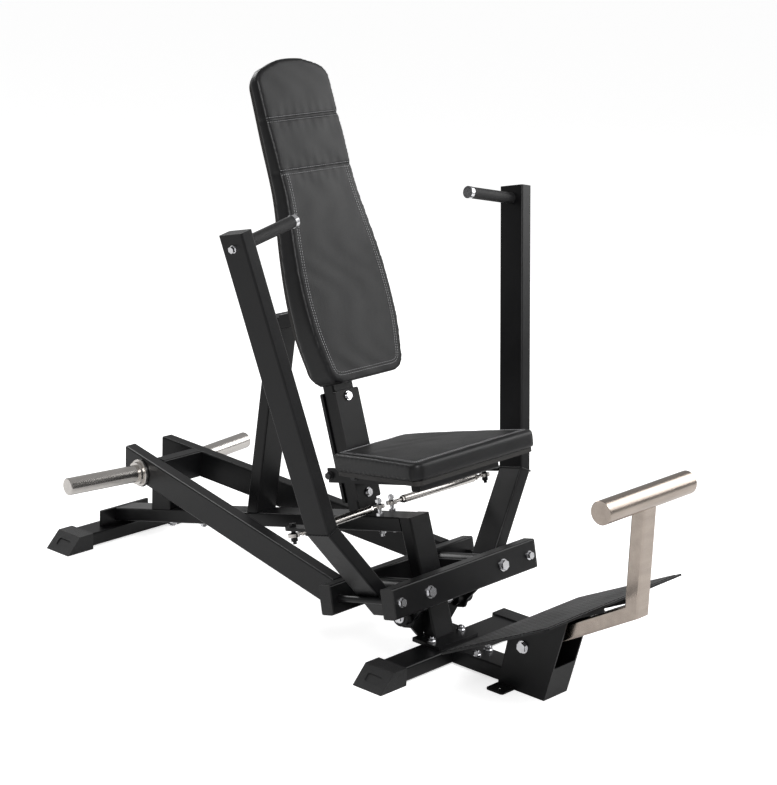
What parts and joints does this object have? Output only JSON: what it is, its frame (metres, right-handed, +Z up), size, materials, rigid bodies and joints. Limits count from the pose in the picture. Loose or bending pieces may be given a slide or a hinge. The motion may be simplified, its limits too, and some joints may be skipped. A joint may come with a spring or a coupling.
{
  "type": "plate-loaded chest press machine",
  "caption": "Seated converging chest press gym machine: lever with weight horns, swinging press arms on tie rods, sliding seat, backrest and foot lever.",
  "frame": {"origin": "on the floor, at the middle of the machine's footprint box", "axes": "+Z up, +Y from the foot plate to the weight horns (the user faces -Y), X across the machine"},
  "size_m": [1.133, 1.973, 1.5158],
  "materials": {
    "black_frame": "satin powder coat",
    "black_rubber": "matte",
    "black_vinyl": "satin grained vinyl",
    "plywood": "black stained",
    "black_plastic": "matte",
    "tread_rubber": "matte, raised anti-slip pattern",
    "chrome_hardware": "polished",
    "polished_steel": "polished",
    "nickel_plate": "satin",
    "bronze": "machined"
  },
  "bodies": {
    "frame": {"backrest_board": "plywood", "backrest_bracket": "black_frame", "backrest_pad": "black_vinyl", "backrest_strut": "black_frame", "floor_tabs": "black_frame", "foot_box": "black_frame", "foot_caps": "black_rubber", "foot_lever_springs": "chrome_hardware", "foot_plate": "black_frame", "foot_plate_ribs": "black_frame", "foot_plate_tread": "tread_rubber", "frame_bolts": "chrome_hardware", "front_base_tube": "black_frame", "front_column": "black_frame", "front_stub_tube": "black_frame", "mounting_plates": "black_frame", "pivot_shaft": "chrome_hardware", "pivot_wings": "black_frame", "rear_base_tube": "black_frame", "rest_bumper": "black_rubber", "rest_post": "black_frame", "rod_studs": "chrome_hardware", "seat_post": "black_frame", "seat_post_plates": "black_frame", "spine_beam": "black_frame"},
    "press_lever": {"front_crossbar": "black_frame", "rear_crossbar": "black_frame", "crossbar_end_caps": "black_rubber", "lever_plates": "black_frame", "bearing_housings": "black_frame", "bearing_bushes": "bronze", "lever_arm_left": "black_frame", "lever_arm_right": "black_frame", "arm_cross_tube": "black_frame", "horn_flanges": "polished_steel", "weight_horns": "polished_steel", "crossbar_bolts": "chrome_hardware", "stop_sleeves": "black_frame"},
    "press_arm_left": {"press_arm_left": "black_frame", "arm_pivot_left": "black_frame", "arm_bush_left": "bronze", "grip_left": "black_rubber", "grip_bar_left": "chrome_hardware", "rod_lug_left": "black_frame"},
    "press_arm_right": {"press_arm_right": "black_frame", "arm_pivot_right": "black_frame", "arm_bush_right": "bronze", "grip_right": "black_rubber", "grip_bar_right": "chrome_hardware", "rod_lug_right": "black_frame"},
    "tie_rod_left": {"tie_rod_left": "polished_steel"},
    "tie_rod_right": {"tie_rod_right": "polished_steel"},
    "rod_end_left": {"rod_end_left": "polished_steel"},
    "rod_end_right": {"rod_end_right": "polished_steel"},
    "seat": {"seat_pad": "black_vinyl", "seat_board": "plywood", "seat_carriage": "black_frame", "seat_rollers": "black_plastic"},
    "foot_lever": {"foot_lever_tube": "nickel_plate", "foot_bar": "nickel_plate"}
  },
  "joints": [
    {"name": "press_lever_hinge", "type": "hinge", "parent": "frame", "child": "press_lever", "pos_m": [0, -0.30799, 0.129], "axis": [1, 0, 0], "range_deg": [0, 20]},
    {"name": "arm_swing_left", "type": "hinge", "parent": "press_lever", "child": "press_arm_left", "pos_m": [-0.1485, -0.4205, 0.234], "axis": [0, 0.9744, -0.225], "range_deg": [0, 8.2]},
    {"name": "arm_swing_right", "type": "hinge", "parent": "press_lever", "child": "press_arm_right", "pos_m": [0.1485, -0.4205, 0.234], "axis": [0, -0.9744, 0.225], "range_deg": [0, 8.2]},
    {"name": "tie_rod_ball_left", "type": "hinge", "parent": "frame", "child": "tie_rod_left", "pos_m": [-0.025, -0.12445, 0.36278], "axis": [0.6269, 0.602, 0.4945], "range_deg": [0, 27]},
    {"name": "rod_end_ball_left", "type": "hinge", "parent": "press_arm_left", "child": "rod_end_left", "pos_m": [-0.382, -0.15448, 0.37271], "axis": [0.0003, 0.294, 0.9558], "range_deg": [0, 14.8]},
    {"name": "tie_rod_ball_right", "type": "hinge", "parent": "frame", "child": "tie_rod_right", "pos_m": [0.025, -0.12445, 0.36278], "axis": [0.6269, -0.602, -0.4945], "range_deg": [0, 27]},
    {"name": "rod_end_ball_right", "type": "hinge", "parent": "press_arm_right", "child": "rod_end_right", "pos_m": [0.382, -0.15448, 0.37271], "axis": [0.0003, -0.294, -0.9558], "range_deg": [0, 14.8]},
    {"name": "seat_slide", "type": "slide", "parent": "frame", "child": "seat", "axis": [0, 0.3289, 0.9444], "range_m": [-0.02, 0.1]},
    {"name": "foot_lever_hinge", "type": "hinge", "parent": "frame", "child": "foot_lever", "pos_m": [0, -0.6525, 0.125], "axis": [1, 0, 0], "range_deg": [0, 25], "stiffness_Nm_per_rad": 20, "springref_deg": -57.3}
  ],
  "couplings": [
    {"joint": "arm_swing_left", "follows": "press_lever_hinge", "ratio": 0.4085},
    {"joint": "tie_rod_ball_left", "follows": "press_lever_hinge", "ratio": 1.3485},
    {"joint": "rod_end_ball_left", "follows": "press_lever_hinge", "ratio": 0.73729},
    {"joint": "arm_swing_right", "follows": "press_lever_hinge", "ratio": 0.4085},
    {"joint": "tie_rod_ball_right", "follows": "press_lever_hinge", "ratio": 1.3485},
    {"joint": "rod_end_ball_right", "follows": "press_lever_hinge", "ratio": 0.73729}
  ]
}
